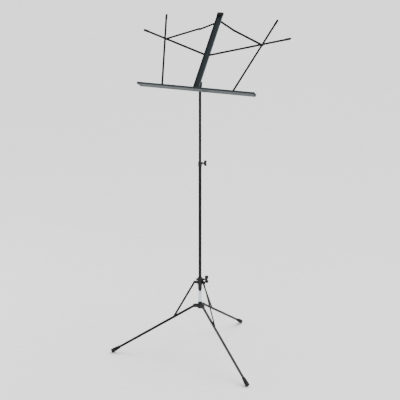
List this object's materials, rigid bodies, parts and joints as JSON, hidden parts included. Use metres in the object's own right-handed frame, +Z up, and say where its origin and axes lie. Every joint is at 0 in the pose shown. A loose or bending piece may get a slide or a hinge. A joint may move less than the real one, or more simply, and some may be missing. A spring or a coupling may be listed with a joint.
{
  "type": "folding music stand",
  "caption": "Folding music stand: strip-steel desk that folds flat against its spine, telescopic mast, and a braced tripod that folds up round the mast.",
  "frame": {"origin": "on the floor, under the middle of the stand's footprint; the mast stands forward of it", "axes": "+Z up the mast, +X along the ledge to the player's right as they face the desk, -Y towards the player"},
  "size_m": [0.6446, 0.5512, 1.3554],
  "materials": {
    "black_enamel": "satin black stove enamel",
    "graphite_enamel": "satin dark grey-green enamel",
    "black_plastic": "moulded, fine texture",
    "rubber": "matt",
    "bright_plate": "bright plated",
    "rivet_steel": "blackened"
  },
  "bodies": {
    "mast": {"lower_hub": "black_plastic", "leg_pivot_pins": "rivet_steel", "lower_tube": "black_enamel", "bright_sleeve": "bright_plate", "mid_clamp": "black_plastic"},
    "mid_clamp_screw": {"mid_clamp_screw": "black_plastic"},
    "leg_slider": {"leg_slider": "black_plastic", "brace_pins": "rivet_steel"},
    "slider_screw": {"slider_screw": "black_plastic"},
    "rear_leg": {"rear_leg": "black_enamel", "rear_foot": "rubber", "rear_leg_rivet": "rivet_steel"},
    "rear_brace": {"rear_brace": "black_enamel"},
    "left_leg": {"left_leg": "black_enamel", "left_foot": "rubber", "left_leg_rivet": "rivet_steel"},
    "left_brace": {"left_brace": "black_enamel"},
    "right_leg": {"right_leg": "black_enamel", "right_foot": "rubber", "right_leg_rivet": "rivet_steel"},
    "right_brace": {"right_brace": "black_enamel"},
    "upper_mast": {"upper_tube": "black_enamel", "guide_bush": "black_plastic"},
    "desk_head": {"desk_socket": "black_plastic", "tilt_bolt": "rivet_steel"},
    "socket_screw": {"socket_screw": "black_plastic"},
    "tilt_knob": {"tilt_knob": "black_plastic"},
    "desk": {"desk_spine": "graphite_enamel", "spine_cap": "black_plastic", "tilt_bracket": "black_enamel", "bracket_rivets": "rivet_steel", "ledge_rivets": "rivet_steel", "arm_rivets": "rivet_steel", "stay_rivet": "rivet_steel"},
    "left_ledge": {"left_ledge": "graphite_enamel", "left_ledge_cap": "black_plastic", "left_rod_rivet": "rivet_steel"},
    "left_rod": {"left_rod": "black_enamel", "left_rod_tip": "black_plastic"},
    "left_arm": {"left_arm": "black_enamel", "left_arm_tip": "black_plastic", "left_arm_rivet": "rivet_steel"},
    "left_inner_stay": {"left_inner_stay": "black_enamel", "left_elbow_rivet": "rivet_steel"},
    "left_outer_stay": {"left_outer_stay": "black_enamel", "left_stay_rivet": "rivet_steel"},
    "right_ledge": {"right_ledge": "graphite_enamel", "right_ledge_cap": "black_plastic", "right_rod_rivet": "rivet_steel"},
    "right_rod": {"right_rod": "black_enamel", "right_rod_tip": "black_plastic"},
    "right_arm": {"right_arm": "black_enamel", "right_arm_tip": "black_plastic", "right_arm_rivet": "rivet_steel"},
    "right_inner_stay": {"right_inner_stay": "black_enamel", "right_elbow_rivet": "rivet_steel"},
    "right_outer_stay": {"right_outer_stay": "black_enamel", "right_stay_rivet": "rivet_steel"}
  },
  "joints": [
    {"name": "rear_leg_fold", "type": "hinge", "parent": "mast", "child": "rear_leg", "pos_m": [0, -0.06618, 0.20596], "axis": [1, 0, 0], "range_deg": [0, 120.6]},
    {"name": "left_leg_fold", "type": "hinge", "parent": "mast", "child": "left_leg", "pos_m": [-0.01905, -0.09918, 0.20596], "axis": [-0.5, 0.866, 0], "range_deg": [0, 120.6]},
    {"name": "right_leg_fold", "type": "hinge", "parent": "mast", "child": "right_leg", "pos_m": [0.01905, -0.09918, 0.20596], "axis": [-0.5, -0.866, 0], "range_deg": [0, 120.6]},
    {"name": "slider_slide", "type": "slide", "parent": "mast", "child": "leg_slider", "axis": [0, 0, 1], "range_m": [0, 0.17161]},
    {"name": "rear_brace_fold", "type": "hinge", "parent": "leg_slider", "child": "rear_brace", "pos_m": [0, -0.06618, 0.30796], "axis": [1, 0, 0], "range_deg": [-29.22, 0]},
    {"name": "left_brace_fold", "type": "hinge", "parent": "leg_slider", "child": "left_brace", "pos_m": [-0.01905, -0.09918, 0.30796], "axis": [-0.5, 0.866, 0], "range_deg": [-29.22, 0]},
    {"name": "right_brace_fold", "type": "hinge", "parent": "leg_slider", "child": "right_brace", "pos_m": [0.01905, -0.09918, 0.30796], "axis": [-0.5, -0.866, 0], "range_deg": [-29.22, 0]},
    {"name": "slider_screw_turn", "type": "hinge", "parent": "leg_slider", "child": "slider_screw", "pos_m": [0, -0.08818, 0.31696], "axis": [0.866, 0.5, 0], "range_deg": [-360, 90]},
    {"name": "mid_clamp_screw_turn", "type": "hinge", "parent": "mast", "child": "mid_clamp_screw", "pos_m": [0, -0.08818, 0.79256], "axis": [0.866, 0.5, 0], "range_deg": [-360, 90]},
    {"name": "mast_slide", "type": "slide", "parent": "mast", "child": "upper_mast", "axis": [0, 0, 1], "range_m": [-0.25, 0.2]},
    {"name": "desk_swivel", "type": "hinge", "parent": "upper_mast", "child": "desk_head", "pos_m": [0, -0.08818, 1.08796], "axis": [0, 0, 1], "continuous": true},
    {"name": "socket_screw_turn", "type": "hinge", "parent": "desk_head", "child": "socket_screw", "pos_m": [0, -0.08818, 1.07846], "axis": [-1, 0, 0], "range_deg": [-360, 90]},
    {"name": "tilt_knob_turn", "type": "hinge", "parent": "desk_head", "child": "tilt_knob", "pos_m": [0, -0.08818, 1.10296], "axis": [-1, 0, 0], "range_deg": [-360, 90]},
    {"name": "desk_tilt", "type": "hinge", "parent": "desk_head", "child": "desk", "pos_m": [0, -0.08818, 1.10296], "axis": [1, 0, 0], "range_deg": [-50, 36]},
    {"name": "left_ledge_fold", "type": "hinge", "parent": "desk", "child": "left_ledge", "pos_m": [-0.0072, -0.11896, 1.08577], "axis": [0, 0.809, -0.5878], "range_deg": [0, 90]},
    {"name": "left_rod_fold", "type": "hinge", "parent": "left_ledge", "child": "left_rod", "pos_m": [-0.1518, -0.11896, 1.08577], "axis": [0, 0.809, -0.5878], "range_deg": [-73.65, 0]},
    {"name": "left_arm_fold", "type": "hinge", "parent": "desk", "child": "left_arm", "pos_m": [-0.0072, -0.03373, 1.20308], "axis": [0, 0.809, -0.5878], "range_deg": [0, 73.61]},
    {"name": "left_inner_stay_fold", "type": "hinge", "parent": "desk", "child": "left_inner_stay", "pos_m": [0, 0.05679, 1.32767], "axis": [0, 0.809, -0.5878], "range_deg": [-52.98, 0]},
    {"name": "left_outer_stay_fold", "type": "hinge", "parent": "left_inner_stay", "child": "left_outer_stay", "pos_m": [-0.07715, 0.0334, 1.29548], "axis": [0, 0.809, -0.5878], "range_deg": [0, 167.72]},
    {"name": "right_ledge_fold", "type": "hinge", "parent": "desk", "child": "right_ledge", "pos_m": [0.0072, -0.11896, 1.08577], "axis": [0, -0.809, 0.5878], "range_deg": [0, 90]},
    {"name": "right_rod_fold", "type": "hinge", "parent": "right_ledge", "child": "right_rod", "pos_m": [0.1518, -0.11896, 1.08577], "axis": [0, -0.809, 0.5878], "range_deg": [-73.65, 0]},
    {"name": "right_arm_fold", "type": "hinge", "parent": "desk", "child": "right_arm", "pos_m": [0.0072, -0.03373, 1.20308], "axis": [0, -0.809, 0.5878], "range_deg": [0, 73.61]},
    {"name": "right_inner_stay_fold", "type": "hinge", "parent": "desk", "child": "right_inner_stay", "pos_m": [0, 0.05679, 1.32767], "axis": [0, -0.809, 0.5878], "range_deg": [-52.98, 0]},
    {"name": "right_outer_stay_fold", "type": "hinge", "parent": "right_inner_stay", "child": "right_outer_stay", "pos_m": [0.07715, 0.0334, 1.29548], "axis": [0, -0.809, 0.5878], "range_deg": [0, 167.72]}
  ],
  "couplings": [
    {"joint": "left_leg_fold", "follows": "rear_leg_fold", "ratio": 1},
    {"joint": "right_leg_fold", "follows": "rear_leg_fold", "ratio": 1},
    {"joint": "slider_slide", "follows": "rear_leg_fold", "m_per_rad": 0.081526},
    {"joint": "rear_brace_fold", "follows": "rear_leg_fold", "ratio": -0.24222},
    {"joint": "left_brace_fold", "follows": "rear_leg_fold", "ratio": -0.24222},
    {"joint": "right_brace_fold", "follows": "rear_leg_fold", "ratio": -0.24222},
    {"joint": "left_rod_fold", "follows": "left_ledge_fold", "ratio": -0.8182},
    {"joint": "left_arm_fold", "follows": "left_ledge_fold", "ratio": 0.81778},
    {"joint": "left_inner_stay_fold", "follows": "left_ledge_fold", "ratio": -0.58853},
    {"joint": "left_outer_stay_fold", "follows": "left_ledge_fold", "ratio": 1.8635},
    {"joint": "right_rod_fold", "follows": "right_ledge_fold", "ratio": -0.8182},
    {"joint": "right_arm_fold", "follows": "right_ledge_fold", "ratio": 0.81778},
    {"joint": "right_inner_stay_fold", "follows": "right_ledge_fold", "ratio": -0.58853},
    {"joint": "right_outer_stay_fold", "follows": "right_ledge_fold", "ratio": 1.8635}
  ]
}
